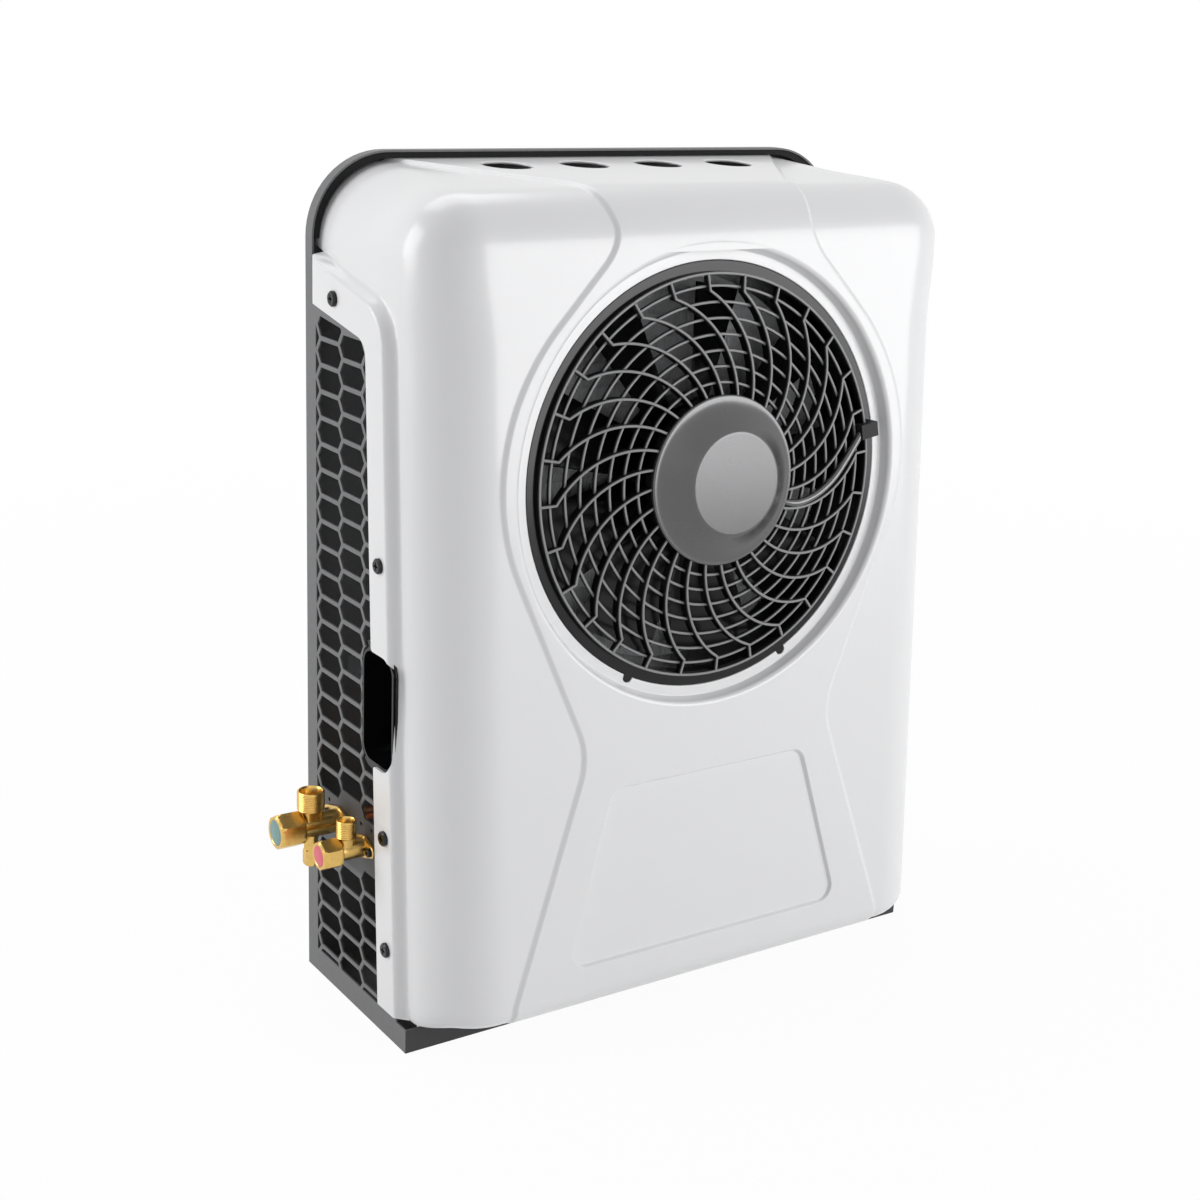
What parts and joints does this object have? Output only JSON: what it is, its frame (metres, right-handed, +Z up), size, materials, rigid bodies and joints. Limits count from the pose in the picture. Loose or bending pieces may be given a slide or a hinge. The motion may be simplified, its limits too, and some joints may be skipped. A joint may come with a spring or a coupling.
{
  "type": "truck cab air conditioner",
  "caption": "Upright wall-hung outdoor air conditioner for a truck cab: domed white front with a round guarded fan, honeycomb steel sides and brass service valves.",
  "frame": {"origin": "centre of the underside of the base", "axes": "+X across the unit towards the side without valves, +Y from the fan side to the back sheet, +Z up"},
  "size_m": [0.5725, 0.2279, 0.68],
  "materials": {
    "powder_coat": "dark grey fine-textured powder coat, matt",
    "zinc": "zinc-plated steel, dull",
    "foam": "black closed-cell rubber, matt",
    "black_plastic": "black moulded plastic, satin",
    "guard_plastic": "black moulded plastic with worn grey rib edges",
    "white_plastic": "white moulded plastic, glossy",
    "black_screw": "black-coated steel screw, satin",
    "hub_paint": "grey paint, satin",
    "motor_paint": "black motor paint",
    "cable": "black cable sheath, shiny",
    "clip_plastic": "grey plastic clip",
    "aluminium": "bare aluminium, dull",
    "compressor_paint": "black paint, semi-gloss",
    "copper": "drawn copper, slightly dulled",
    "brass": "forged and turned brass, bright"
  },
  "bodies": {
    "housing": {"back_plate": "powder_coat", "rivet_nuts": "zinc", "base_pan": "powder_coat", "side_grille_left": "powder_coat", "side_grille_right": "powder_coat", "rim_gasket": "foam", "grip_pocket_left": "black_plastic", "grip_pocket_right": "black_plastic", "front_cover": "white_plastic", "cover_screws": "black_screw", "fan_shroud": "black_plastic", "shroud_screws": "black_screw", "fan_guard": "guard_plastic", "motor_cap": "hub_paint", "fan_motor": "motor_paint", "motor_bearings": "zinc", "motor_lead": "cable", "lead_clip": "clip_plastic", "coil_tubes": "aluminium", "coil_fins": "aluminium", "coil_brackets": "zinc", "compressor": "compressor_paint", "compressor_deck": "zinc", "compressor_feet": "foam", "compressor_bolts": "zinc", "accumulator": "compressor_paint", "accumulator_clamp": "zinc", "filter_drier": "copper", "suction_pipes": "copper", "discharge_pipe": "copper", "liquid_pipe": "copper", "control_box": "zinc", "control_box_lid": "zinc", "large_valve_body": "brass", "small_valve_body": "brass", "valve_screws": "black_screw"},
    "fan": {"fan_shaft": "zinc", "fan_impeller": "black_plastic"},
    "large_cap": {"large_valve_cap": "brass"},
    "large_stem": {"large_valve_stem": "brass"},
    "service_cap": {"service_cap": "brass"},
    "small_cap": {"small_valve_cap": "brass"},
    "small_stem": {"small_valve_stem": "brass"}
  },
  "joints": [
    {"name": "fan_spin", "type": "hinge", "parent": "housing", "child": "fan", "pos_m": [0, -0.10253, 0.44329], "axis": [0, -0.998, 0.0638], "continuous": true},
    {"name": "large_cap_pull", "type": "slide", "parent": "housing", "child": "large_cap", "axis": [-1, 0, 0], "range_m": [0, 0.025]},
    {"name": "large_stem_turn", "type": "hinge", "parent": "housing", "child": "large_stem", "pos_m": [-0.3, 0.0275, 0.1555], "axis": [-1, 0, 0], "range_deg": [0, 720]},
    {"name": "service_cap_pull", "type": "slide", "parent": "housing", "child": "service_cap", "axis": [0, 0, -1], "range_m": [0, 0.015]},
    {"name": "small_cap_pull", "type": "slide", "parent": "housing", "child": "small_cap", "axis": [-1, 0, 0], "range_m": [0, 0.02]},
    {"name": "small_stem_turn", "type": "hinge", "parent": "housing", "child": "small_stem", "pos_m": [-0.285, -0.0175, 0.15], "axis": [-1, 0, 0], "range_deg": [0, 720]}
  ]
}
